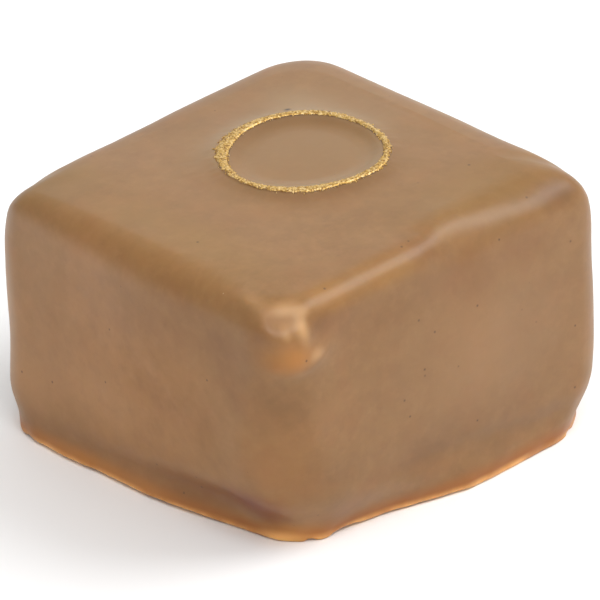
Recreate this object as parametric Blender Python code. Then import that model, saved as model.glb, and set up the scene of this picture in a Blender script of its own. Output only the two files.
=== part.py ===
"""A square of nougat in a coat of milk chocolate, with a ring of gold dust on its top.

The sweet is one solid. Its skin is one rim of corners, extruded level by level: from the middle of the gold
ring out over the top, round the top edge, down the walls, over the foot where the coat has pooled, and in
under the base. +Z is up, and the flat base lies on Z = 0 with the origin in the middle of the footprint.
"""

import math

import bmesh
import bpy
from mathutils import Vector, noise

MM = 0.001

# The coated block
LENGTH = 25.0 * MM  # across the +X and -X walls
WIDTH = 24.2 * MM  # across the +Y and -Y walls
HEIGHT = 16.2 * MM  # to the middle of the top
CROWN = 0.25 * MM  # how far the top falls from its middle to its edges
TOP_LEAN = 0.055  # how much higher the coat lies towards the +Y wall, as a slope
CORNER_RADII_ABOVE = (2.2 * MM, 3.2 * MM, 3.1 * MM, 2.4 * MM)  # upright corners, from +X+Y anticlockwise
CORNER_RADII_BELOW = (4.4 * MM, 4.8 * MM, 4.1 * MM, 5.2 * MM)
CORNER_GROWTH_HEIGHTS = (4.0 * MM, 4.0 * MM, 3.0 * MM, 12.0 * MM)  # below these the corners grow rounder
SMALLEST_CORNER = 2.7 * MM  # least plan radius of the flat top
EDGE_RADIUS_FRONT = 1.65 * MM  # the rounding between the top and the walls +X and -Y
EDGE_RADIUS_BACK = 3.4 * MM
FRONT = Vector((1, -1)).normalized()  # from the middle to the front corner
EDGE_TURN = 0.9  # how fast the rounding changes round the two side corners
EDGE_BREAK = -0.7 * MM  # the place on the +X edge where its rounding steps wider towards +Y
EDGE_GROWTH = 0.8 * MM
EDGE_GROWTH_LENGTH = 2.2 * MM

# The foot: a thin lip of pooled chocolate below a hollow in the wall
LIP_HEIGHT = 0.8 * MM
LIP_REACH = 0.06 * MM  # how far the lip stands out from the wall above it
HOLLOW_HEIGHT = 3.6 * MM
HOLLOW_DEPTH = 0.12 * MM
BASE_INSET = 2.0 * MM  # from the outline of the base to the fan of faces that closes it

# The ring
RING_CENTRE = Vector((-0.12 * MM, 1.18 * MM))
RING_RADIUS = 4.33 * MM  # of the clean inner edge of the gold
RING_WAVE = 0.12 * MM  # three soft corners that make the hand-drawn ring not quite round
GOLD_WIDTH = 0.40 * MM
GOLD_THICKNESS = 0.07 * MM
GOLD_RAGGED = 0.05 * MM
GOLD_EDGE = 0.04 * MM  # width of the slope at each edge of the gold
RIDGE_HEIGHT = 0.22 * MM  # of the soft ridge that carries the gold
RIDGE_INSIDE = 0.75 * MM
RIDGE_OUTSIDE = 1.5 * MM

# Where the gold lies thick or thin: direction in degrees, extra width, spread in degrees
GOLD_SWELLS = (
    (-160.0, 0.26 * MM, 34.0),
    (-42.0, 0.22 * MM, 22.0),
    (15.0, 0.12 * MM, 14.0),
    (75.0, -0.07 * MM, 40.0),
)

# Unevenness of the coat: middle of the lump, how far it stands out, its spread along and up, all in mm
LUMPS = (
    ((12.4, -11.0, 12.4), 0.38, 1.5, 0.9),  # bead that ran down the front corner
    ((12.5, -9.1, 12.3), 0.14, 0.9, 0.6),  # its lobe on the +X side
    ((12.3, -11.2, 13.4), -0.14, 1.6, 0.5),  # pinch above the bead
    ((11.3, -10.6, 16.0), 0.20, 1.0, 0.5),  # blunt corner of the top above it
    ((11.8, -11.0, 14.9), -0.34, 1.3, 0.7),
    ((12.0, -11.2, 10.6), -0.18, 2.2, 1.2),  # and under it
    ((-11.8, -11.3, 15.2), -0.62, 3.8, 2.5),  # sagging corner of the top
    ((-12.0, -3.0, 15.2), -0.28, 5.5, 2.5),
    ((12.5, 2.2, 8.4), 0.26, 4.6, 4.0),  # belly of the +X wall
    ((12.5, -6.5, 12.0), -0.16, 2.6, 3.0),
    ((12.5, 0.9, 13.4), -0.12, 1.3, 2.2),  # dents below the break in the +X edge
    ((12.5, 5.0, 13.6), -0.12, 2.4, 1.0),
    ((12.4, -3.0, 15.7), 0.10, 2.2, 0.9),
    ((10.9, 1.3, 16.2), 0.17, 1.5, 0.8),  # the step in the edge
    ((12.4, 1.3, 14.9), -0.16, 1.5, 0.8),
    ((10.9, 7.6, 16.5), -0.18, 2.8, 0.9),  # and its sag towards +Y
    ((12.4, 7.6, 14.9), 0.16, 2.8, 0.9),
    ((12.5, 2.2, 0.0), 0.08, 4.6, 1.5),  # foot along the +X wall
    ((12.5, 7.4, 0.0), -0.45, 3.4, 1.6),
    ((11.9, -5.0, 0.0), -1.20, 4.4, 2.0),  # the walls draw in above the base by the front corner
    ((8.4, -10.8, 0.0), -1.90, 5.0, 2.6),
    ((-8.6, -12.1, 0.0), 0.14, 3.4, 1.3),  # foot along the -Y wall
    ((0.5, -12.1, 0.0), -0.26, 5.0, 1.6),
    ((-3.4, -12.8, 0.0), -0.35, 1.0, 0.9),  # chip in it
    ((10.7, 11.2, 15.5), 0.34, 2.7, 1.6),  # full corner of the top
    ((12.0, 11.0, 4.8), 0.12, 4.0, 2.4),
    ((-12.0, -11.5, 2.6), 0.32, 4.0, 2.0),
    ((2.7, -12.1, 13.0), 0.45, 6.0, 6.0),  # belly of the -Y wall, up to its top edge
    ((-0.9, -12.2, 6.0), 0.10, 2.4, 2.4),
    ((-12.5, 2.0, 7.5), 0.25, 5.5, 4.0),  # bellies of the two back walls
    ((1.0, 12.1, 7.0), 0.22, 6.0, 4.0),
    ((-12.5, -1.0, 0.0), 0.60, 5.5, 1.2),  # feet along the two back walls
    ((-2.0, 12.1, 0.0), 0.70, 5.5, 1.25),
)

# Creases and ridges as chains of bends: place, how far it stands out, its spread, all in mm
CREASES = (
    (  # crescent above the lip of the -Y wall
        ((-7.5, -12.2, 1.1), -0.10, 0.6),
        ((-2.0, -12.1, 1.5), -0.28, 0.8),
        ((4.0, -11.6, 1.9), -0.50, 1.0),
        ((7.6, -11.1, 2.1), -0.85, 1.1),
        ((9.8, -10.6, 1.9), -0.50, 0.8),
    ),
    (((9.0, -12.3, 8.2), 0.10, 1.2), ((10.1, -11.8, 5.6), 0.24, 1.0), ((10.7, -11.0, 3.0), 0.30, 0.8)),  # its ridge
    (  # groove above the foot of the +X wall
        ((12.5, -5.0, 3.6), -0.10, 0.8),
        ((12.5, -1.5, 3.2), -0.22, 0.8),
        ((12.5, 3.5, 2.6), -0.24, 0.8),
        ((12.5, 7.0, 2.1), -0.22, 0.7),
        ((12.2, 10.0, 2.2), -0.12, 0.7),
    ),
)
WOBBLE = 0.10 * MM  # slow waves of the poured coat
WOBBLE_LENGTH = 7.0 * MM
LIP_WOBBLE = 0.18 * MM  # the lip's own, shorter waves
LIP_WOBBLE_LENGTH = 2.6 * MM

# The +X +Y corner of the top, where the wide rounding of the back meets the narrow one and flows together
SOFT_CORNER = Vector((11.2 * MM, 11.2 * MM, 15.4 * MM))
SOFT_REACH = 4.0 * MM
SOFT_ROUNDS = 5

# Corners of the mesh round each level, and the places of the levels
ARC_STEPS = 11
SIDE_STEPS = 16
RIM_CORNERS = 4 * (ARC_STEPS + SIDE_STEPS)
INNER_SHARES = (0.32, 0.62)  # of the ring's radius
RIDGE_STEPS_INSIDE = (1.7, 0.95, 0.4)  # in RIDGE_INSIDE, from the gold
RIDGE_STEPS_OUTSIDE = (0.22, 0.6, 1.05, 1.6)  # in RIDGE_OUTSIDE, from the gold
TOP_SHARES = (0.3, 0.62, 0.86, 1.0)  # from the ridge to the rounded edge
EDGE_ANGLES = (15, 32, 48, 63, 77, 90)
WALL_SHARES = (0.08, 0.16, 0.24, 0.33, 0.44, 0.56, 0.70, 0.85)  # from the rounded edge down to the hollow
FOOT_SHARES = (1.0, 0.86, 0.73, 0.61, 0.5, 0.39, 0.28, 0.18, 0.09, 0.0)  # of HOLLOW_HEIGHT, down to the base

CHOCOLATE = (0.36, 0.19, 0.095, 1.0)
GOLD = (0.83, 0.60, 0.20, 1.0)


def bell(distance, spread):
    """1 in the middle, falling off smoothly over the spread."""
    return math.exp(-((distance / spread) ** 2))


def turn_between(degrees, other):
    """The smaller angle between two directions, in degrees."""
    return abs((degrees - other + 180) % 360 - 180)


def smooth(share):
    share = max(0.0, min(1.0, share))
    return share * share * (3 - 2 * share)


def rim_spots():
    """Where the corners of every level lie, anticlockwise from the middle of +X: (side, on its arc, share)."""
    spots = []
    for side in range(4):
        spots += [(side, True, step / ARC_STEPS) for step in range(ARC_STEPS + 1)]
        spots += [(side, False, step / SIDE_STEPS) for step in range(1, SIDE_STEPS)]
    half_side = SIDE_STEPS // 2
    return spots[-half_side:] + spots[:-half_side]


def corner_arc(side, height, inset):
    """Centre and radius of an upright corner of the block, for an outline drawn in by the inset."""
    above, under = CORNER_RADII_ABOVE[side], CORNER_RADII_BELOW[side]
    radius = under + (above - under) * smooth(height / CORNER_GROWTH_HEIGHTS[side])
    radius = max(radius - inset, min(radius, SMALLEST_CORNER))
    sign_x, sign_y = ((1, 1), (-1, 1), (-1, -1), (1, -1))[side]
    centre = Vector((sign_x * (LENGTH / 2 - inset - radius), sign_y * (WIDTH / 2 - inset - radius)))
    return centre, radius


def outline_place(spot, height, inset):
    """Place in plan and outward direction of a spot on the block's outline at a height."""
    side, on_arc, share = spot
    centre, radius = corner_arc(side, height, inset)
    angle = math.radians(90 * (side + (share if on_arc else 1)))
    outward = Vector((math.cos(angle), math.sin(angle)))
    place = centre + radius * outward
    if not on_arc:
        next_centre, next_radius = corner_arc((side + 1) % 4, height, inset)
        place = place.lerp(next_centre + next_radius * outward, share)
    return place, outward


def gold_width(degrees):
    width = GOLD_WIDTH
    for direction, extra, spread in GOLD_SWELLS:
        width += extra * bell(turn_between(degrees, direction), spread)
    return width


def gold_edges(degrees):
    """Radius of the inner and the outer edge of the gold in a direction. The outer edge is the ragged one."""
    spot = Vector((math.cos(math.radians(degrees)), math.sin(math.radians(degrees)), 0))
    ragged = GOLD_RAGGED * noise.noise(spot * 9)
    inner = RING_RADIUS + RING_WAVE * math.sin(math.radians(3 * degrees)) + 0.3 * ragged
    return inner, inner + gold_width(degrees) + ragged


def ridge_height(radius, inner, outer):
    """Height of the soft ridge at a distance from the ring's centre."""
    if radius < inner:
        return RIDGE_HEIGHT * bell(inner - radius, RIDGE_INSIDE)
    if radius > outer:
        return RIDGE_HEIGHT * bell(radius - outer, RIDGE_OUTSIDE)
    return RIDGE_HEIGHT


def top_height(x, y):
    """Height of the plain top, without ridge and lumps."""
    reach = max(abs(x) / (LENGTH / 2), abs(y) / (WIDTH / 2))
    return HEIGHT - CROWN * reach**2.5 + TOP_LEAN * y


def edge_radius(place, outward):
    """The rounding of the top edge: tight in front, wide at the back, growing along +X from the break on."""
    backward = smooth(0.5 - EDGE_TURN * outward.dot(FRONT))
    grown = max(outward.x, 0) * smooth((place.y - EDGE_BREAK) / EDGE_GROWTH_LENGTH)
    return EDGE_RADIUS_FRONT + (EDGE_RADIUS_BACK - EDGE_RADIUS_FRONT) * backward + EDGE_GROWTH * grown


def edge_start(spot):
    """Where the flat top begins to round over: its place in plan, and the radius of the rounding there."""
    radius = edge_radius(*outline_place(spot, HEIGHT, 0))
    return outline_place(spot, HEIGHT, radius)[0], radius


def ring_levels():
    """The levels round the ring, out to the foot of the ridge: lists of (place, direction out of the skin)."""
    up = Vector((0, 0, 1))
    steps = [("share", share) for share in INNER_SHARES]
    steps += [("inside", step) for step in RIDGE_STEPS_INSIDE]
    steps += [("gold", step) for step in (0, 1, 2, 3)]
    steps += [("outside", step) for step in RIDGE_STEPS_OUTSIDE]
    levels = []
    for kind, step in steps:
        level = []
        for corner in range(RIM_CORNERS):
            degrees = 360 * corner / RIM_CORNERS
            inner, outer = gold_edges(degrees)
            radius = {
                "share": inner * step,
                "inside": inner - step * RIDGE_INSIDE,
                "gold": (inner, inner + GOLD_EDGE, outer - GOLD_EDGE, outer)[int(step) % 4],
                "outside": outer + step * RIDGE_OUTSIDE,
            }[kind]
            raised = GOLD_THICKNESS if kind == "gold" and step in (1, 2) else 0.0
            angle = math.radians(degrees)
            x = RING_CENTRE.x + radius * math.cos(angle)
            y = RING_CENTRE.y + radius * math.sin(angle)
            z = top_height(x, y) + ridge_height(radius, inner, outer) + raised
            level.append((Vector((x, y, z)), up))
        levels.append(level)
    return levels


def top_levels(ridge_foot):
    """The levels from the foot of the ridge to where the top begins to round over."""
    levels = []
    for share in TOP_SHARES:
        level = []
        for (inner, up), spot in zip(ridge_foot, rim_spots()):
            flat = inner.xy.lerp(edge_start(spot)[0], share)
            level.append((Vector((flat.x, flat.y, top_height(flat.x, flat.y))), up))
        levels.append(level)
    return levels


def edge_levels():
    """The levels over the rounded top edge."""
    levels = []
    for degrees in EDGE_ANGLES:
        rise, run = math.cos(math.radians(degrees)), math.sin(math.radians(degrees))
        level = []
        for spot in rim_spots():
            start, radius = edge_start(spot)
            wall, outward = outline_place(spot, HEIGHT, 0)
            flat = start.lerp(wall, run)
            z = top_height(start.x, start.y) - radius * (1 - rise)
            out = Vector((outward.x * run, outward.y * run, rise))
            level.append((Vector((flat.x, flat.y, z)), out))
        levels.append(level)
    return levels


def wall_levels(edge):
    """The levels down the walls, from the rounded edge to the hollow above the foot."""
    levels = []
    for share in WALL_SHARES:
        level = []
        for (top, outward), spot in zip(edge, rim_spots()):
            z = top.z + (HOLLOW_HEIGHT - top.z) * share
            flat = outline_place(spot, z, HOLLOW_DEPTH * smooth((share - 0.45) / 0.55))[0]
            level.append((Vector((flat.x, flat.y, z)), outward))
        levels.append(level)
    return levels


def foot_levels():
    """The levels over the hollow and the lip, down to the flat base."""
    levels = []
    for share in FOOT_SHARES:
        z = HOLLOW_HEIGHT * share
        lip = bell(z - 0.35 * LIP_HEIGHT, 0.75 * LIP_HEIGHT)
        level = []
        for spot in rim_spots():
            flat, outward = outline_place(spot, z, HOLLOW_DEPTH - LIP_REACH * lip)
            flat += outward * LIP_WOBBLE * lip * noise.noise(flat.to_3d() / LIP_WOBBLE_LENGTH)
            level.append((Vector((flat.x, flat.y, z)), outward.to_3d()))
        levels.append(level)
    return levels


def crease_height(place, bends):
    """How far a crease stands out at a place, from its nearest point between two bends."""
    nearest = None
    for (start, height, spread), (end, next_height, next_spread) in zip(bends, bends[1:]):
        start, end = Vector(start), Vector(end)
        along = end - start
        share = max(0.0, min(1.0, (place - start).dot(along) / along.length_squared))
        gap = (place - start - share * along).length
        if nearest is None or gap < nearest[0]:
            nearest = gap, height + (next_height - height) * share, spread + (next_spread - spread) * share
    gap, height, spread = nearest
    return height * bell(gap, spread)


def unevenness(place):
    """How far the coat stands out at a place, from its lumps, creases and slow waves."""
    out = WOBBLE * noise.noise(place / WOBBLE_LENGTH)
    for middle, height, along, up in LUMPS:
        gap = place / MM - Vector(middle)
        out += height * MM * bell(math.hypot(gap.x, gap.y), along) * bell(gap.z, up)
    return out + MM * sum(crease_height(place / MM, bends) for bends in CREASES)


def skin_levels():
    """Every level of the skin as lists of places, from the innermost round the ring to the outline of the base."""
    levels = ring_levels()
    levels += top_levels(levels[-1])
    edge = edge_levels()
    levels += edge + wall_levels(edge[-1]) + foot_levels()
    return [[place + out * unevenness(place) for place, out in level] for level in levels]


def extrude_rim(bm, rim, places):
    """Extrudes the open rim once and lays its new corners on the places, in the same order."""
    edges = [bm.edges.get(pair) for pair in zip(rim, rim[1:] + rim[:1])]
    made = bmesh.ops.extrude_edge_only(bm, edges=edges)["geom"]
    new = {item for item in made if isinstance(item, bmesh.types.BMVert)}
    outer = []
    for corner in rim:
        outer.append(next(e.other_vert(corner) for e in corner.link_edges if e.other_vert(corner) in new))
    for corner, place in zip(outer, places):
        corner.co = place
    return outer


def coated_nougat(materials):
    """The whole sweet as one closed solid, with the gold band in a material slot of its own."""
    levels = skin_levels()
    bm = bmesh.new()
    disc = bmesh.ops.create_circle(bm, cap_ends=True, cap_tris=True, radius=1, segments=RIM_CORNERS)["verts"]
    rim = [corner for corner in disc if len(corner.link_faces) == 2]
    rim.sort(key=lambda corner: math.atan2(corner.co.y, corner.co.x) % math.tau)
    middle = next(corner for corner in disc if corner not in rim)
    middle.co = (*RING_CENTRE, top_height(*RING_CENTRE))
    for corner, place in zip(rim, levels[0]):
        corner.co = place
    gold_starts = len(INNER_SHARES) + len(RIDGE_STEPS_INSIDE)
    for number, places in enumerate(levels[1:], start=1):
        before = set(bm.faces)
        rim = extrude_rim(bm, rim, places)
        if gold_starts < number <= gold_starts + 3:
            for face in set(bm.faces) - before:
                face.material_index = 1
    base = [place.xy * (1 - BASE_INSET / place.xy.length) for place in levels[-1]]
    rim = extrude_rim(bm, rim, [Vector((place.x, place.y, 0)) for place in base])
    bmesh.ops.contextual_create(bm, geom=[bm.edges.get(pair) for pair in zip(rim, rim[1:] + rim[:1])])
    soften_corner(bm)
    centre_on_footprint(bm)
    bmesh.ops.recalc_face_normals(bm, faces=bm.faces)
    mesh = bpy.data.meshes.new("coated_nougat")
    bm.to_mesh(mesh)
    bm.free()
    mesh.shade_smooth()
    for material in materials:
        mesh.materials.append(material)
    sweet = bpy.data.objects.new("coated_nougat", mesh)
    bpy.context.scene.collection.objects.link(sweet)
    return sweet


def soften_corner(bm):
    """Evens out the skin round the soft corner, most in its middle."""
    for turn in range(SOFT_ROUNDS):
        reach = SOFT_REACH * (1 - 0.5 * turn / SOFT_ROUNDS)
        near = [corner for corner in bm.verts if (corner.co - SOFT_CORNER).length < reach]
        bmesh.ops.smooth_vert(bm, verts=near, factor=0.5, use_axis_x=True, use_axis_y=True, use_axis_z=True)


def centre_on_footprint(bm):
    """Moves the skin so that its bounding box is centred on the origin, with the base on Z = 0."""
    lowest = Vector([min(corner.co[axis] for corner in bm.verts) for axis in range(3)])
    highest = Vector([max(corner.co[axis] for corner in bm.verts) for axis in range(3)])
    middle = (lowest + highest) / 2
    bmesh.ops.translate(bm, verts=bm.verts, vec=(-middle.x, -middle.y, -lowest.z))


def plain_material(name, colour, roughness, metallic):
    material = bpy.data.materials.new(name)
    material.use_nodes = True
    surface = material.node_tree.nodes["Principled BSDF"]
    surface.inputs["Base Color"].default_value = colour
    surface.inputs["Roughness"].default_value = roughness
    surface.inputs["Metallic"].default_value = metallic
    return material


def main():
    for thing in list(bpy.data.objects):
        bpy.data.objects.remove(thing)
    chocolate = plain_material("milk_chocolate", CHOCOLATE, 0.35, 0.0)
    gold = plain_material("gold_dust", GOLD, 0.4, 1.0)
    coated_nougat([chocolate, gold])


if __name__ == "__main__":
    main()
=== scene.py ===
import math
import random

import bmesh
import bpy
from mathutils import Matrix, Vector, noise
from mathutils.bvhtree import BVHTree


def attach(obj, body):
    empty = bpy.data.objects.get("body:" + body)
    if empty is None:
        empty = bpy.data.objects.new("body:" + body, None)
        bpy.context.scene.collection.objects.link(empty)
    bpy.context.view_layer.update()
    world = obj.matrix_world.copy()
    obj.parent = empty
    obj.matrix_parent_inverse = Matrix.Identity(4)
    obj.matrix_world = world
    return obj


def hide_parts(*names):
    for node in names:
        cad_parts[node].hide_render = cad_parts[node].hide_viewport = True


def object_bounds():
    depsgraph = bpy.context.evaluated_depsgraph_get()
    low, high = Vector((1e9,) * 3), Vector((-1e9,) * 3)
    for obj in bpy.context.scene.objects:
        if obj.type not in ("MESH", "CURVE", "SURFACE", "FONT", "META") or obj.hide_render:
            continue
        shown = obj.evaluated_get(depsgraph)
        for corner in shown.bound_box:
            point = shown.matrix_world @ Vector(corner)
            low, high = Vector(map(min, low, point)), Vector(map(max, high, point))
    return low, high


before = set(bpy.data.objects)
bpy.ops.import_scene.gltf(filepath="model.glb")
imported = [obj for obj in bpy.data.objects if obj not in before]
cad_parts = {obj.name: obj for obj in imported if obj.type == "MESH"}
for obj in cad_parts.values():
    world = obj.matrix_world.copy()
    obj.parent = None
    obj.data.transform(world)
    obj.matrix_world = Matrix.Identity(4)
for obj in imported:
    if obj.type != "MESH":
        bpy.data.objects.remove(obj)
cad_low, cad_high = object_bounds()

MM = 0.001  # lengths are in metres, or in mm where a comment says so

# The ring of gold dust
RING_CENTRE = Vector((0.01 * MM, 1.10 * MM))
RING_RADIUS = 4.33 * MM
RING_WAVE = 0.12 * MM  # it is slightly three-cornered
RING_FLATTENING = 0.09 * MM  # how much nearer its edges lie along Y
GOLD_WIDTH = 0.41 * MM
GOLD_SWELLS = (  # direction in degrees, extra width, spread in degrees
    (-152.0, 0.42 * MM, 30.0),
    (-42.0, 0.22 * MM, 22.0),
    (15.0, 0.12 * MM, 14.0),
    (75.0, -0.07 * MM, 40.0),
    (150.0, 0.06 * MM, 18.0),
)
INNER_RIPPLES = ((0.025, 1.8), (0.02, 7.0))  # height in mm and waves in a mm, as in most ripples
OUTER_RIPPLES = ((0.05, 1.9), (0.09, 4.5), (0.05, 11.0))

# The crust of gold and the darker bed under it, whose edges are painted shade beside the crust: both slope
# down to edges that are sunk in the coat
GOLD_STEPS = (900, 14)  # faces round and across
GOLD_THICKNESS = 0.055 * MM
GOLD_SLOPE = 0.06 * MM
GOLD_SUNK = 0.015 * MM
GRAIN_HEIGHT = 0.035 * MM
GRAIN_RIPPLES = ((1.0, 7.0), (0.9, 14.0), (0.5, 27.0))  # in shares of the grains' height
BED_STEPS = (360, 6)
BED_MARGIN = 0.045 * MM  # how far it shows beyond the gold
BED_THICKNESS = 0.012 * MM
BED_SLOPE = 0.03 * MM
BED_SUNK = 0.004 * MM
LOOSE_GRAINS = 700
LOOSE_SEED = 11
LOOSE_LINES = (  # where they lie, 0 at the inner edge and 1 at the outer, and how far they stray
    (1.0, 0.10),
    (1.0, 0.05),
    (0.0, 0.03),
)
LOOSE_SIZES = (0.02, 0.05)  # in mm
LOOSE_STAND = 0.4  # how high their middles lie, in shares of their size

# The coat beside the ring
TOP_HEIGHT = 14 * MM  # the ring shapes, and paints light and shade on, only what lies higher
MOAT_DEPTH = 0.12 * MM  # the coat lies lower beside the ring, which makes its ridge steeper
MOAT_NEAR = 0.5 * MM
MOAT_FAR = 1.9 * MM
LIT_SIDE = Vector((-0.95, 0.32))  # where light is painted on the ridge's slopes; painted shade goes on the slopes that face away
RIDGE_LIGHTING_WIDTH = 1.0 * MM

# The skin of the coat
MERGE_DISTANCE = 0.002 * MM
QUAD_BEND = math.radians(40)  # the most between two triangles that are joined to a quad
QUAD_SKEW = math.radians(60)
BASE_HEIGHT = 0.05 * MM  # the base stays flat up to here
SKIN_RIPPLES = ((0.035, 1 / 1.9),)
SKIN_CALM_FROM, SKIN_CALM_OVER = 12.0, 4.0  # heights in mm over which its ripples grow weaker
LIP_RIPPLES = ((0.10, 1 / 0.8),)
LIP_HEIGHT = 0.8  # in mm
DRIP_REACH = 6  # in mm, past which a drip makes no difference

# Fine drips and ridges of the coat: from where to where, how far they stand out, their spread, all in mm
DRIPS = (
    ((9.0, -11.6, 15.5), (11.0, -11.4, 15.2), 0.14, 0.45),  # rim that runs to the blunt corner
    ((11.3, -11.8, 14.6), (11.6, -11.7, 13.8), 0.16, 0.50),
    ((12.1, -11.0, 14.9), (12.5, -11.1, 13.5), 0.05, 0.24),  # the two strips down it
    ((12.4, -10.3, 15.0), (12.8, -10.4, 13.5), 0.09, 0.26),
    ((12.6, -9.4, 14.7), (12.8, -9.3, 13.9), -0.10, 0.40),
    ((12.1, -11.3, 13.6), (12.75, -10.1, 13.6), 0.16, 0.50),
    ((12.1, -11.6, 12.3), (12.7, -10.2, 12.4), 0.16, 0.60),  # the bead below it
    ((12.7, -9.5, 12.1), (12.7, -8.7, 12.8), 0.14, 0.30),
    ((12.0, -11.8, 11.2), (12.7, -10.0, 11.2), -0.12, 0.40),
    ((10.9, -0.5, 16.2), (12.6, -0.5, 14.6), -0.10, 0.34),  # groove across the +X edge at its break
)

# Colours of the coat: all over, a painted glow at the thin foot, in soft patches (many of them painted light
# and shade) and in small specks
DARK_MILK = (0.200, 0.095, 0.030)
LIGHT_MILK = (0.330, 0.174, 0.062)
# painted warm glow of light through the thin foot
FOOT_GLOW = (0.330, 0.098, 0.008)
# painted sheen: the pale surroundings reflected on the top
TOP_SHEEN = (0.262, 0.147, 0.056)
# painted light on slopes that face the light, and a painted highlight
PAINTED_HALO = (0.338, 0.222, 0.115)
# painted warm glow of light through the thin bead and foot
AMBER_GLOW = (0.46, 0.185, 0.035)
# painted highlights on the blunt corner, its strips and the bead
CREAM_HIGHLIGHT = (0.62, 0.370, 0.170)
# painted light in the patches (floor bounce, a bright rim, the lit bulge), pale random blotches in the
# mottles
PAINTED_LIGHT_AND_PALE_BLOTCH = (0.42, 0.215, 0.088)
ROSY = (0.335, 0.145, 0.034)
MAUVE = (0.270, 0.150, 0.070)
TAN = (0.258, 0.137, 0.022)
CARAMEL = (0.330, 0.135, 0.044)
COCOA = (0.210, 0.105, 0.034)
BISCUIT = (0.44, 0.200, 0.075)
CHESTNUT = (0.19, 0.070, 0.019)
# painted shade in the patches, dark random blotches in the mottles
PAINTED_SHADE_AND_DARK_BLOTCH = (0.10, 0.036, 0.010)
# painted shade in the crescent hollow
DEEP_SHADE = (0.125, 0.014, 0.001)
# painted shade below the edges, in dents and in grooves
RUSSET_SHADE = (0.20, 0.070, 0.018)
# painted shade in the crescent hollow near the front corner
UMBER_SHADE = (0.170, 0.036, 0.001)
# painted highlight colour along the +X edge
WARM_HIGHLIGHT = (0.42, 0.195, 0.034)
# painted glow along the thin rim of the foot
GLOW = (0.85, 0.45, 0.15)
PIT = (0.015, 0.008, 0.004)
DARK_SPECK = (0.08, 0.034, 0.013)
DARKER_SPECK = (0.06, 0.025, 0.010)
PALE_SPECK = (0.55, 0.42, 0.28)
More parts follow.
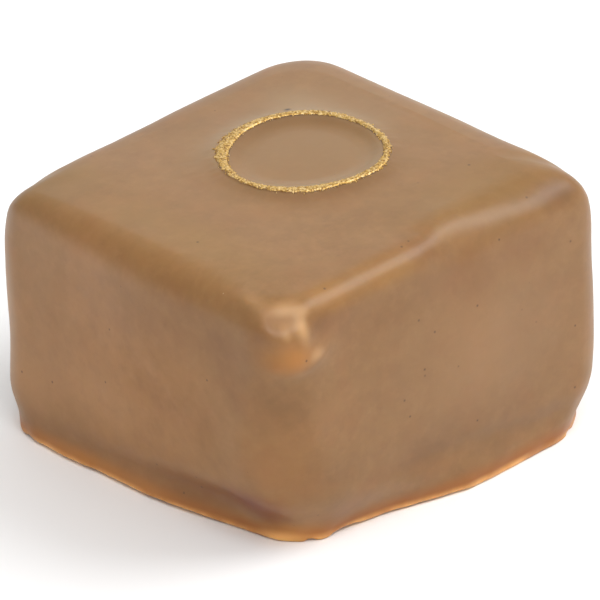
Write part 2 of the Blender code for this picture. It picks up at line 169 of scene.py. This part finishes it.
PATCHES = (  # middle and size in mm, strength, colour
    # the top: a painted sheen of the pale surroundings over it, browner near its edges, painted shade at two
    # places and painted light on the ridge at the ring's back
    ((-1.0, 2.5, 16.3), (12.5, 12.0, 4.0), 0.75, TOP_SHEEN),
    ((1.0, -9.5, 16.0), (14.0, 3.6, 3.0), 0.40, TAN),
    ((10.0, 5.0, 16.3), (4.0, 9.0, 3.0), 0.45, TAN),
    ((-9.5, -9.5, 15.6), (5.0, 4.5, 3.0), 0.60, TAN),
    ((-8.6, -9.8, 15.5), (5.0, 3.6, 2.4), 0.14, PAINTED_SHADE_AND_DARK_BLOTCH),
    ((9.5, 6.5, 16.6), (4.0, 5.0, 2.0), 0.09, PAINTED_SHADE_AND_DARK_BLOTCH),
    ((-5.0, 5.0, 16.5), (3.4, 2.6, 3.0), 0.50, PAINTED_HALO),
    # the -Y wall: a rosy tone, painted shade near its top edge, and painted light from the floor and along
    # its bright rim towards -X
    ((0.0, -12.2, 8.0), (15.0, 3.0, 12.0), 0.70, ROSY),
    ((4.5, -12.3, 12.6), (9.0, 2.5, 3.2), 0.24, PAINTED_SHADE_AND_DARK_BLOTCH),
    ((9.6, -12.0, 11.6), (3.4, 2.0, 5.0), 0.22, PAINTED_SHADE_AND_DARK_BLOTCH),
    ((-4.5, -12.3, 5.4), (7.0, 2.5, 4.0), 0.30, PAINTED_LIGHT_AND_PALE_BLOTCH),
    ((-12.0, -11.6, 8.0), (3.5, 3.5, 9.0), 0.70, PAINTED_LIGHT_AND_PALE_BLOTCH),
    ((-8.8, -12.2, 3.9), (4.2, 2.5, 2.8), 0.45, PAINTED_LIGHT_AND_PALE_BLOTCH),
    # the front corner below the bead: painted shade under the bead and lower down, with a rosy tone
    ((12.0, -11.2, 9.8), (2.2, 2.2, 2.2), 0.26, PAINTED_SHADE_AND_DARK_BLOTCH),
    ((12.0, -11.0, 5.0), (3.0, 3.0, 6.0), 0.50, ROSY),
    ((12.2, -10.6, 3.5), (2.2, 2.2, 3.0), 0.16, RUSSET_SHADE),
    # painted shade in the crescent hollow above the lip of the -Y wall, and painted light on the wall above
    # it
    ((8.9, -11.2, 2.65), (3.3, 2.8, 1.9), 0.86, DEEP_SHADE),
    ((5.8, -11.2, 2.2), (5.4, 2.8, 1.6), 0.38, DEEP_SHADE),
    ((1.5, -11.7, 1.7), (7.5, 2.4, 1.4), 0.22, DEEP_SHADE),
    ((9.6, -10.4, 1.6), (2.0, 1.8, 1.3), 0.65, UMBER_SHADE),
    ((-0.5, -12.2, 4.6), (6.5, 2.5, 3.0), 0.30, PAINTED_LIGHT_AND_PALE_BLOTCH),
    ((-7.0, -12.2, 1.6), (6.0, 2.0, 1.3), 0.14, DEEP_SHADE),
    # the bead with a painted warm glow, and the blunt corner with painted highlights on its two strips above
    # it
    ((12.4, -10.8, 12.75), (2.1, 1.8, 1.45), 0.68, AMBER_GLOW),
    ((12.8, -9.4, 12.6), (0.8, 0.8, 0.6), 0.42, CREAM_HIGHLIGHT),
    ((11.9, -11.8, 12.5), (1.5, 1.3, 1.5), 0.45, ROSY),
    ((12.0, -10.6, 14.8), (2.0, 2.0, 1.5), 0.25, AMBER_GLOW),
    ((12.45, -10.15, 14.25), (0.75, 0.70, 1.35), 0.68, CREAM_HIGHLIGHT),
    ((12.1, -10.9, 14.3), (0.6, 0.60, 1.2), 0.26, CREAM_HIGHLIGHT),
    ((12.2, -11.0, 13.95), (0.4, 0.4, 0.5), 0.30, CREAM_HIGHLIGHT),
    ((12.1, -9.8, 14.95), (0.7, 0.8, 0.5), 0.40, CREAM_HIGHLIGHT),
    # painted highlights along the edges that run from the blunt corner, and painted shade beside them
    ((12.1, -7.8, 15.2), (1.7, 2.4, 1.2), 0.40, WARM_HIGHLIGHT),
    ((12.1, -4.0, 15.3), (1.7, 3.8, 1.3), 0.26, WARM_HIGHLIGHT),
    ((12.7, -8.2, 14.1), (1.0, 2.2, 1.3), 0.26, RUSSET_SHADE),
    ((11.6, -10.4, 15.1), (1.3, 1.3, 0.5), 0.55, CREAM_HIGHLIGHT),
    ((10.2, -11.3, 15.3), (1.9, 0.7, 0.6), 0.14, CREAM_HIGHLIGHT),
    ((11.2, -11.9, 14.0), (1.1, 1.0, 1.3), 0.30, RUSSET_SHADE),
    ((12.7, -9.0, 14.2), (0.8, 1.3, 1.1), 0.30, PAINTED_SHADE_AND_DARK_BLOTCH),
    # the +X wall: painted shade all over it and in the groove above its foot, a mauve tone, and painted light
    # on its bulge
    ((12.6, 0.0, 7.0), (5.0, 30.0, 20.0), 0.17, PAINTED_SHADE_AND_DARK_BLOTCH),
    ((12.6, 3.0, 8.5), (3.0, 14.0, 9.0), 0.50, MAUVE),
    ((12.4, 2.2, 8.6), (3.0, 4.6, 4.6), 0.14, PAINTED_LIGHT_AND_PALE_BLOTCH),
    ((12.4, 1.0, 4.0), (2.0, 10.0, 2.6), 0.12, PAINTED_SHADE_AND_DARK_BLOTCH),
    ((12.4, -1.5, 3.2), (2.0, 5.5, 1.3), 0.18, PAINTED_SHADE_AND_DARK_BLOTCH),
    ((12.4, 6.0, 2.4), (2.0, 5.5, 1.2), 0.18, PAINTED_SHADE_AND_DARK_BLOTCH),
    # painted shade below and along the +X edge, at the far end of its highlight and in the groove at its
    # break, with a painted highlight just past the break
    ((12.5, 1.5, 13.2), (2.2, 4.2, 2.6), 0.26, RUSSET_SHADE),
    ((12.5, 0.6, 14.2), (2.0, 3.6, 1.6), 0.14, PAINTED_SHADE_AND_DARK_BLOTCH),
    ((12.5, -2.6, 13.2), (2.0, 3.0, 2.0), 0.10, PAINTED_SHADE_AND_DARK_BLOTCH),
    ((12.5, 6.0, 13.6), (2.0, 4.5, 2.0), 0.20, RUSSET_SHADE),
    ((12.2, 8.6, 15.4), (1.8, 2.6, 1.3), 0.46, PAINTED_SHADE_AND_DARK_BLOTCH),
    ((12.1, -0.9, 15.5), (1.6, 1.8, 1.4), 0.26, RUSSET_SHADE),
    ((11.8, 0.6, 15.8), (0.8, 0.9, 0.6), 0.25, PAINTED_HALO),
    ((12.6, -6.3, 13.0), (2.0, 4.0, 2.6), 0.16, RUSSET_SHADE),
    ((12.1, 7.0, 15.7), (1.5, 2.4, 1.0), 0.16, PAINTED_SHADE_AND_DARK_BLOTCH),
    ((8.0, 1.0, 16.3), (3.4, 4.5, 2.0), 0.12, PAINTED_SHADE_AND_DARK_BLOTCH),
    # the thin foot: a painted warm glow along it, and painted shade above it on the +X side
    ((10.8, -9.8, 0.5), (3.4, 3.4, 1.3), 0.60, AMBER_GLOW),
    ((-2.0, -12.2, 0.4), (12.0, 1.6, 1.0), 0.50, AMBER_GLOW),
    ((9.8, -10.0, 0.2), (2.4, 1.8, 0.7), 0.70, GLOW),
    ((11.2, -7.0, 1.6), (2.5, 3.6, 1.6), 0.26, RUSSET_SHADE),
)
PITS = (((-4.70, 3.97, 16.6), (0.30, 0.30, 1.2), 1.0, PIT),)  # a dark one by the gold, like a patch
FOOT_GLOW_HEIGHTS, FOOT_GLOW_STRENGTH = (1.5, 0.2), 0.85  # in mm, where the foot's painted glow begins and is full
RIM_HEIGHTS, RIM_STRENGTH = (0.60, 0.10), 0.85  # the same, for the painted glow along the thin rim of the foot
RIM_CLOUDS = (0.35, 0.60, 0.30)  # start and end in the noise that breaks up the rim, and what it leaves
RIDGE_LIGHT_AND_SHADE_TINTS = ((1.0, 0.80, PAINTED_HALO), (-1.0, 0.34, PAINTED_SHADE_AND_DARK_BLOTCH))  # painted light and shade on the ridge's slopes: which slopes, strength, colour
BLOTCH_EDGE, BLOTCH_MIDDLE = 0.48, 0.75  # in the noise that makes the mottles
MOTTLES = (  # scale, seed, colour, strength
    (1100.0, 3.0, PAINTED_SHADE_AND_DARK_BLOTCH, 0.17),
    (1300.0, 8.0, PAINTED_LIGHT_AND_PALE_BLOTCH, 0.25),
    (420.0, 5.0, CARAMEL, 0.35),
    (300.0, 2.0, COCOA, 0.30),
)
WALL_MIDDLE, WALL_SIZE = (0.0, -12.2, 8.0), (16.0, 4.0, 12.0)
WALL_MOTTLES = (  # the same, on the -Y wall alone
    (240.0, 14.0, BISCUIT, 0.45),
    (260.0, 6.0, CHESTNUT, 0.40),
    (900.0, 9.0, PAINTED_SHADE_AND_DARK_BLOTCH, 0.22),
    (1000.0, 4.0, PAINTED_LIGHT_AND_PALE_BLOTCH, 0.26),
)
SPECKS = (  # spacing and size in mm, share, seed, colour
    (1.4, 0.115, 0.45, 0.0, DARK_SPECK),
    (2.1, 0.105, 0.60, 0.5, DARKER_SPECK),
    (2.6, 0.065, 0.30, 0.9, PALE_SPECK),
)
# the painted shade line along the gold's edges, darker and lighter
SHADE_LINE_DARK = (0.050, 0.022, 0.007)
SHADE_LINE_LIGHT = (0.170, 0.080, 0.028)
GOLD_TONES = (  # from the darkest grains to the brightest
    (0.0, (0.28, 0.135, 0.034)),
    (0.25, (0.47, 0.275, 0.068)),
    (0.6, (0.66, 0.42, 0.12)),
    (1.0, (0.80, 0.60, 0.30)),
)

# The camera, and the point it looks at: to the right and up in its own view, and above the base
VIEW_AZIMUTH = 49.8
VIEW_ELEVATION = 27.2
VIEW_ROLL = -2.3
VIEW_DISTANCE = 300 * MM
VIEW_TARGET = (0.27 * MM, 0.60 * MM, 7.0 * MM)
LENS, SENSOR = 323.6, 36
CLIP_START = 10 * MM

# Soft lights: name, direction, distance and size in metres, watts
LIGHTS = (
    ("key", (0.44, 0.55, 0.80), 0.5, 0.30, 1.25),
    ("fill", (0.50, -0.28, 0.82), 0.5, 0.28, 0.8),
    ("back", (-0.76, 0.64, 0.52), 0.6, 0.35, 0.12),
)
# The studio is white all round, and dimmer on one side
STUDIO_LEVEL = 0.78
DIM_LEVEL = 0.50
DIM_SIDE = Vector((-0.70, -0.56, 0.44))
DIM_REACH = (0.62, 0.97)  # cosines of the angles from that side where the dimming starts and is full
FLOOR_SIZE = 3.0
FLOOR_GAP = 0.02 * MM


def bell(distance, spread):
    return math.exp(-((distance / spread) ** 2))


def turn_between(degrees, other):
    return abs((degrees - other + 180) % 360 - 180)


def rippled(spot, ripples):
    return sum(height * noise.noise(spot * waves) for height, waves in ripples)


# The ring's line


def gold_width(degrees):
    width = GOLD_WIDTH
    for direction, extra, spread in GOLD_SWELLS:
        width += extra * bell(turn_between(degrees, direction), spread)
    return width


def ring_edges(degrees):
    """Radius of the clean inner edge and of the ragged outer edge of the gold in a direction."""
    angle = math.radians(degrees)
    spot = Vector((math.cos(angle), math.sin(angle), 0)) * RING_RADIUS / MM
    radius = RING_RADIUS + RING_WAVE * math.sin(3 * angle) - RING_FLATTENING * math.sin(angle) ** 2
    inner = radius + rippled(spot, INNER_RIPPLES) * MM
    return inner, radius + gold_width(degrees) + rippled(spot, OUTER_RIPPLES) * MM


def place_by_ring(place):
    """The way from the ring's middle to the place, and the gold's edges in that direction."""
    toward = place.xy - RING_CENTRE
    return toward, *ring_edges(math.degrees(math.atan2(toward.y, toward.x)))


def ring_moat(place):
    """How far the skin lies lower near the ring, from the gold's edges inwards and outwards."""
    toward, inner, outer = place_by_ring(place)
    gap = max(inner - toward.length, toward.length - outer, 0)
    return MOAT_DEPTH * (bell(gap, MOAT_FAR) - bell(gap, MOAT_NEAR))


def painted_ridge_lighting(place):
    """Painted light and shade on the ring's ridge: 1 on the slopes that face the lit side, -1 on those that
    face away, else 0.
    """
    toward, inner, outer = place_by_ring(place)
    side = toward.normalized().dot(LIT_SIDE)
    if toward.length > outer:
        return side * bell(toward.length - outer, RIDGE_LIGHTING_WIDTH)
    return -side * bell(max(inner - toward.length, 0), RIDGE_LIGHTING_WIDTH)


# Pieces


def new_object(name, bm, material):
    mesh = bpy.data.meshes.new(name)
    bm.to_mesh(mesh)
    bm.free()
    mesh.shade_smooth()
    mesh.materials.append(material)
    made = bpy.data.objects.new(name, mesh)
    bpy.context.scene.collection.objects.link(made)
    return made


def new_piece(name, bm, material):
    piece = new_object(name, bm, material)
    return piece


def subdivide(piece, levels):
    finer = piece.modifiers.new("finer skin", "SUBSURF")
    finer.levels = finer.render_levels = levels


def gap_to_line(place, start, end):
    along = end - start
    share = max(0.0, min(1.0, (place - start).dot(along) / along.length_squared))
    return (place - start - share * along).length


def fine_relief(place):
    """How far the skin stands out from the block's own: drips, small ripples and the ragged lip."""
    spot = place / MM
    out = 0.0
    for start, end, height, spread in DRIPS:
        if (spot - Vector(start)).length < DRIP_REACH:
            out += height * bell(gap_to_line(spot, Vector(start), Vector(end)), spread)
    out += rippled(spot, SKIN_RIPPLES) * bell(max(spot.z - SKIN_CALM_FROM, 0), SKIN_CALM_OVER)
    out += rippled(spot, LIP_RIPPLES) * bell(spot.z, LIP_HEIGHT)
    return out * MM


def milk_coat(node, material):
    """The coat over the whole sweet: the block's own skin, made finer, with the small relief on it."""
    bm = bmesh.new()
    bm.from_mesh(node.data)
    bmesh.ops.remove_doubles(bm, verts=bm.verts, dist=MERGE_DISTANCE)
    bmesh.ops.join_triangles(
        bm, faces=bm.faces, angle_face_threshold=QUAD_BEND, angle_shape_threshold=QUAD_SKEW
    )
    bmesh.ops.subdivide_edges(bm, edges=bm.edges, cuts=1, use_grid_fill=True)
    bmesh.ops.smooth_vert(bm, verts=bm.verts, factor=0.5, use_axis_x=True, use_axis_y=True, use_axis_z=True)
    bm.normal_update()
    for corner, normal in [(corner, corner.normal.copy()) for corner in bm.verts]:
        if corner.co.z > BASE_HEIGHT:
            corner.co += normal * fine_relief(corner.co)
            if corner.co.z > TOP_HEIGHT:
                corner.co.z -= ring_moat(corner.co)
            corner.co = [max(low, min(high, at)) for at, low, high in zip(corner.co, cad_low, cad_high)]
    # painted light and shade for the ridge's slopes, kept on each corner
    tone = bm.verts.layers.float.new("painted_ridge_lighting")
    for corner in bm.verts:
        corner[tone] = painted_ridge_lighting(corner.co) if corner.co.z > TOP_HEIGHT else 0.0
    coat = new_piece("milk_coat", bm, material)
    subdivide(coat, 1)
    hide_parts(node.name)
    return coat


def skin_of(piece):
    """A tree of the piece's finished surface, to lay things on."""
    return BVHTree.FromObject(piece, bpy.context.evaluated_depsgraph_get())


def height_over(skin, x, y):
    above = Vector((x, y, 2 * cad_high[2]))
    return skin.ray_cast(above, Vector((0, 0, -1)))[0].z


def ring_band(skin, steps, beyond, profile):
    """A flat band, spun round and laid on the skin between the ring's edges; the profile gives its height."""
    steps_round, steps_across = steps
    bm = bmesh.new()
    start = [bm.verts.new((1 + k / steps_across, 0, 0)) for k in range(steps_across + 1)]
    edges = [bm.edges.new(pair) for pair in zip(start, start[1:])]
    bmesh.ops.spin(
        bm,
        geom=start + edges,
        cent=(0, 0, 0),
        axis=(0, 0, 1),
        angle=math.tau,
        steps=steps_round,
        use_merge=True,
    )
    for corner in bm.verts:
        share = corner.co.xy.length - 1
        inner, outer = ring_edges(math.degrees(math.atan2(corner.co.y, corner.co.x)))
        width = outer - inner + 2 * beyond
        x, y = RING_CENTRE + (inner - beyond + width * share) * corner.co.xy.normalized()
        z = height_over(skin, x, y) + profile(x, y, width * min(share, 1 - share))
        corner.co = Vector((x, y, min(z, cad_high[2])))
    return bm


def dust_height(x, y, from_edge):
    """Height of the gold over the coat: a crust of grains, thin at its edges."""
    grain = GRAIN_HEIGHT * rippled(Vector((x, y, 0)) / MM, GRAIN_RIPPLES)
    return (GOLD_THICKNESS + grain) * min(from_edge / GOLD_SLOPE, 1) - GOLD_SUNK


def bed_height(x, y, from_edge):
    return BED_THICKNESS * min(from_edge / BED_SLOPE, 1) - BED_SUNK


def add_loose_grains(bm, skin):
    rng = random.Random(LOOSE_SEED)
    for _ in range(LOOSE_GRAINS):
        degrees = rng.uniform(-180, 180)
        inner, outer = ring_edges(degrees)
        radius = inner + (outer - inner) * rng.choice([rng.gauss(*line) for line in LOOSE_LINES])
        x = RING_CENTRE.x + radius * math.cos(math.radians(degrees))
        y = RING_CENTRE.y + radius * math.sin(math.radians(degrees))
        size = rng.uniform(*LOOSE_SIZES) * MM
        z = min(height_over(skin, x, y) + LOOSE_STAND * size, cad_high[2] - size)
        bmesh.ops.create_icosphere(bm, subdivisions=1, radius=size, matrix=Matrix.Translation((x, y, z)))


def gold_ring(skin, material):
    """The band of gold dust: a granular crust that lies on the coat's ridge, with loose grains along it."""
    bm = ring_band(skin, GOLD_STEPS, 0.0, dust_height)
    add_loose_grains(bm, skin)
    bmesh.ops.recalc_face_normals(bm, faces=bm.faces)
    return new_piece("gold_ring", bm, material)


def ring_shade_line(skin, material):
    """The darker sheet under the gold, showing along both its edges: painted shade beside its raised crust.
    """
    bm = ring_band(skin, BED_STEPS, BED_MARGIN, bed_height)
    bmesh.ops.recalc_face_normals(bm, faces=bm.faces)
    return new_piece("ring_shade_line", bm, material)


# Shader nodes

MIX_SHARE, MIX_FIRST, MIX_SECOND, MIX_RESULT = 0, 6, 7, 2  # sockets of the Mix node when it mixes colours


def new_node(tree, kind, **values):
    made = tree.nodes.new(kind)
    for name, value in values.items():
        if name in made.inputs:
            made.inputs[name].default_value = value
        else:
            setattr(made, name, value)
    return made


def plug(tree, value, socket):
    """Links another node's output to the socket, or sets it to a plain value."""
    if isinstance(value, bpy.types.NodeSocket):
        tree.links.new(value, socket)
    else:
        socket.default_value = value


def operation_outputs(tree, kind, operation, terms):
    made = new_node(tree, kind, operation=operation)
    for term, socket in zip(terms, made.inputs):
        plug(tree, term, socket)
    return made.outputs


def maths(tree, operation, *terms):
    return operation_outputs(tree, "ShaderNodeMath", operation, terms)["Value"]


def vector_maths(tree, operation, *terms):
    return operation_outputs(tree, "ShaderNodeVectorMath", operation, terms)["Vector"]


def vector_number(tree, operation, *terms):
    """What a length or a dot product of vectors comes to."""
    return operation_outputs(tree, "ShaderNodeVectorMath", operation, terms)["Value"]


def carried(tree, value, start, end, low, high, soft=False):
    """The value carried from start..end over to low..high, and held there outside."""
    fade = new_node(tree, "ShaderNodeMapRange", interpolation_type="SMOOTHSTEP" if soft else "LINEAR")
    sides = (("Value", value), ("From Min", start), ("From Max", end), ("To Min", low), ("To Max", high))
    for name, side in sides:
        plug(tree, side, fade.inputs[name])
    return fade.outputs[0]


def blend(tree, share, first, second):
    """The first colour where the share is 0, the second where it is 1."""
    mix = new_node(tree, "ShaderNodeMix", data_type="RGBA")
    for value, socket in ((share, MIX_SHARE), (first, MIX_FIRST), (second, MIX_SECOND)):
        plug(tree, value, mix.inputs[socket])
    return mix.outputs[MIX_RESULT]


def tinted(tree, colour, mask, tint):
    return blend(tree, mask, colour, (*tint, 1))


def object_place(tree):
    return tree.nodes.new("ShaderNodeTexCoord").outputs["Object"]


def cloudy(tree, place, **values):
    clouds = new_node(tree, "ShaderNodeTexNoise", **values)
    plug(tree, place, clouds.inputs["Vector"])
    return clouds.outputs["Fac"]


def new_mask_group(name, inputs):
    """A group that puts out one mask; each of its inputs is given by name, kind and value."""
    group = bpy.data.node_groups.new(name, "ShaderNodeTree")
    for label, kind, value in inputs:
        group.interface.new_socket(label, in_out="INPUT", socket_type=kind).default_value = value
    group.interface.new_socket("Mask", in_out="OUTPUT", socket_type="NodeSocketFloat")
    given = group.nodes.new("NodeGroupInput").outputs
    return group, given, group.nodes.new("NodeGroupOutput").inputs["Mask"]


def flecks_group():
    """Small round specks in the skin, spread at random: mask 1 in the middle of a speck."""
    inputs = (
        ("Spacing", "NodeSocketFloat", 0.8 * MM),
        ("Size", "NodeSocketFloat", 0.05 * MM),
        ("Share", "NodeSocketFloat", 0.2),
        ("Seed", "NodeSocketFloat", 0.0),
    )
    group, given, mask = new_mask_group("small flecks", inputs)
    density = maths(group, "DIVIDE", 1.0, given["Spacing"])
    cells = new_node(group, "ShaderNodeTexVoronoi")
    plug(group, vector_maths(group, "ADD", object_place(group), given["Seed"]), cells.inputs["Vector"])
    plug(group, density, cells.inputs["Scale"])
    reach = maths(group, "MULTIPLY", given["Size"], density)
    dot = carried(group, cells.outputs["Distance"], 0.0, reach, 1.0, 0.0, soft=True)
    chance = group.nodes.new("ShaderNodeSeparateColor")
    plug(group, cells.outputs["Color"], chance.inputs[0])
    chosen = maths(group, "LESS_THAN", chance.outputs[0], given["Share"])
    plug(group, maths(group, "MULTIPLY", dot, chosen), mask)
    return group


def zone_group():
    """A soft oval patch round a place on the sweet: mask 1 in its middle, 0 from its size outwards."""
    inputs = (
        ("Middle", "NodeSocketVector", (0, 0, 0)),
        ("Size", "NodeSocketVector", (1, 1, 1)),
        ("Strength", "NodeSocketFloat", 1.0),
    )
    group, given, mask = new_mask_group("soft patch", inputs)
    away = vector_maths(group, "SUBTRACT", object_place(group), given["Middle"])
    reach = vector_number(group, "LENGTH", vector_maths(group, "DIVIDE", away, given["Size"]))
    fade = carried(group, reach, 0.0, 1.0, 1.0, 0.0, soft=True)
    plug(group, maths(group, "MULTIPLY", fade, given["Strength"]), mask)
    return group


def put_group(tree, group, **values):
    made = new_node(tree, "ShaderNodeGroup", node_tree=group)
    for name, value in values.items():
        made.inputs[name].default_value = value
    return made.outputs["Mask"]


def zone_mask(tree, zone, middle, size, strength=1.0):
    return put_group(tree, zone, Middle=Vector(middle) * MM, Size=Vector(size) * MM, Strength=strength)


def with_patches(tree, zone, colour, patches):
    for middle, size, strength, tint in patches:
        colour = tinted(tree, colour, zone_mask(tree, zone, middle, size, strength), tint)
    return colour


def height_mask(tree, place, none, full, most):
    """0 at one height, growing to the most at another."""
    split = tree.nodes.new("ShaderNodeSeparateXYZ")
    plug(tree, place, split.inputs[0])
    return carried(tree, split.outputs["Z"], none * MM, full * MM, 0.0, most, soft=True)


def mottle_mask(tree, place, scale, seed, most):
    """Soft cloudy blotches: 0 in about half of the skin, up to the most in the middle of a blotch."""
    clouds = cloudy(tree, place, noise_dimensions="4D", Scale=scale, Detail=3.0, Roughness=0.6, W=seed)
    return carried(tree, clouds, BLOTCH_EDGE, BLOTCH_MIDDLE, 0.0, most)


# Materials


def new_material(name, values):
    """A material with values on its shader's own sockets, its node tree and its socket for the colour."""
    material = bpy.data.materials.new(name)
    material.use_nodes = True
    surface = material.node_tree.nodes["Principled BSDF"]
    for socket, value in values.items():
        surface.inputs[socket].default_value = value
    return material, material.node_tree, surface.inputs["Base Color"]


def milk_chocolate(flecks, zone):
    material, tree, base_colour = new_material(
        "milk chocolate",
        {
            "Roughness": 0.40,
            "IOR": 1.43,
            "Subsurface Weight": 0.35,
            "Subsurface Radius": (1.0, 0.45, 0.2),
            "Subsurface Scale": 1.0 * MM,
        },
    )
    place = object_place(tree)
    clouds = cloudy(tree, place, Scale=330.0, Detail=5.0, Roughness=0.62)
    colour = blend(tree, clouds, (*DARK_MILK, 1), (*LIGHT_MILK, 1))
    for scale, seed, tint, most in MOTTLES:
        colour = tinted(tree, colour, mottle_mask(tree, place, scale, seed, most), tint)
    # a painted warm glow over the thin foot
    colour = tinted(tree, colour, height_mask(tree, place, *FOOT_GLOW_HEIGHTS, FOOT_GLOW_STRENGTH), FOOT_GLOW)
    # soft patches, most of them painted light and shade
    colour = with_patches(tree, zone, colour, PATCHES)
    wall = zone_mask(tree, zone, WALL_MIDDLE, WALL_SIZE)
    for scale, seed, tint, most in WALL_MOTTLES:
        blotches = maths(tree, "MULTIPLY", wall, mottle_mask(tree, place, scale, seed, most))
        colour = tinted(tree, colour, blotches, tint)
    # a painted glow along the thin rim of the foot, broken up by noise
    start, end, least = RIM_CLOUDS
    glow_breakup = carried(tree, cloudy(tree, place, Scale=450.0, Detail=3.0), start, end, least, 1.0)
    rim = maths(tree, "MULTIPLY", height_mask(tree, place, *RIM_HEIGHTS, RIM_STRENGTH), glow_breakup)
    colour = tinted(tree, colour, rim, GLOW)
    # painted light and shade on the slopes of the ring's ridge
    tone = new_node(tree, "ShaderNodeAttribute", attribute_name="painted_ridge_lighting").outputs["Fac"]
    for full, most, tint in RIDGE_LIGHT_AND_SHADE_TINTS:
        colour = tinted(tree, colour, carried(tree, tone, 0.0, full, 0.0, most), tint)
    colour = with_patches(tree, zone, colour, PITS)
    for spacing, size, share, seed, tint in SPECKS:
        specks = put_group(tree, flecks, Spacing=spacing * MM, Size=size * MM, Share=share, Seed=seed)
        colour = tinted(tree, colour, specks, tint)
    plug(tree, colour, base_colour)
    return material


# the colour of the painted shade line along the gold's edges
def shade_line_chocolate():
    material, tree, base_colour = new_material("painted shade line", {"Roughness": 0.45})
    clouds = cloudy(tree, object_place(tree), Scale=1800.0, Detail=2.0)
    plug(tree, blend(tree, clouds, (*SHADE_LINE_DARK, 1), (*SHADE_LINE_LIGHT, 1)), base_colour)
    return material


def gold_dust():
    material, tree, base_colour = new_material("gold dust", {"Metallic": 0.6, "Roughness": 0.5})
    grains = new_node(tree, "ShaderNodeTexVoronoi", Scale=11000.0)
    plug(tree, object_place(tree), grains.inputs["Vector"])
    chance = tree.nodes.new("ShaderNodeSeparateColor")
    plug(tree, grains.outputs["Color"], chance.inputs[0])
    ramp = tree.nodes.new("ShaderNodeValToRGB")
    plug(tree, chance.outputs[0], ramp.inputs["Fac"])
    stops = ramp.color_ramp.elements
    stops[0].color = (*GOLD_TONES[0][1], 1)
    stops[-1].color = (*GOLD_TONES[-1][1], 1)
    for position, colour in GOLD_TONES[1:-1]:
        stops.new(position).color = (*colour, 1)
    plug(tree, ramp.outputs["Color"], base_colour)
    return material


# Floor, light and camera


def floor():
    bm = bmesh.new()
    place = Matrix.Translation((0, 0, -FLOOR_GAP))
    bmesh.ops.create_grid(bm, x_segments=1, y_segments=1, size=FLOOR_SIZE / 2, matrix=place)
    material = new_material("pale floor", {"Base Color": (0.93, 0.93, 0.93, 1), "Roughness": 0.9})[0]
    piece = new_object("pale_floor", bm, material)


def soft_light(name, direction, distance, size, watts):
    light = bpy.data.lights.new(name, "AREA")
    light.shape = "DISK"
    light.size = size
    light.energy = watts
    lamp = bpy.data.objects.new(name, light)
    away = Vector(direction).normalized()
    lamp.location = away * distance
    lamp.rotation_euler = away.to_track_quat("Z", "Y").to_euler()
    bpy.context.scene.collection.objects.link(lamp)


def studio():
    world = bpy.data.worlds.new("soft studio")
    bpy.context.scene.world = world
    world.use_nodes = True
    tree = world.node_tree
    back = tree.nodes["Background"]
    back.inputs["Color"].default_value = (1, 1, 1, 1)
    direction = tree.nodes.new("ShaderNodeTexCoord").outputs["Generated"]
    toward = vector_number(tree, "DOT_PRODUCT", direction, DIM_SIDE.normalized())
    level = carried(tree, toward, *DIM_REACH, STUDIO_LEVEL, DIM_LEVEL, soft=True)
    plug(tree, level, back.inputs["Strength"])
    for light in LIGHTS:
        soft_light(*light)
    bpy.context.scene.view_settings.view_transform = "Standard"


def camera():
    azimuth, elevation, roll = (math.radians(v) for v in (VIEW_AZIMUTH, VIEW_ELEVATION, VIEW_ROLL))
    level = math.cos(elevation)
    back = Vector((math.sin(azimuth) * level, -math.cos(azimuth) * level, math.sin(elevation)))
    across = Vector((math.cos(azimuth), math.sin(azimuth), 0))
    up = back.cross(across)
    right, over, height = VIEW_TARGET
    target = across * right + up * over + Vector((0, 0, height))
    rolled = across * math.cos(roll) + up * math.sin(roll)
    data = bpy.data.cameras.new("camera")
    data.lens, data.sensor_width = LENS, SENSOR
    data.clip_start = CLIP_START
    view = bpy.data.objects.new("camera", data)
    view.location = target + back * VIEW_DISTANCE
    view.rotation_euler = Matrix((rolled, back.cross(rolled), back)).transposed().to_euler()
    bpy.context.scene.collection.objects.link(view)
    bpy.context.scene.camera = view


coat = milk_coat(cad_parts["coated_nougat"], milk_chocolate(flecks_group(), zone_group()))
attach(coat, "root")
skin = skin_of(coat)
for piece in (ring_shade_line(skin, shade_line_chocolate()), gold_ring(skin, gold_dust())):
    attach(piece, "root")
floor()
studio()
camera()
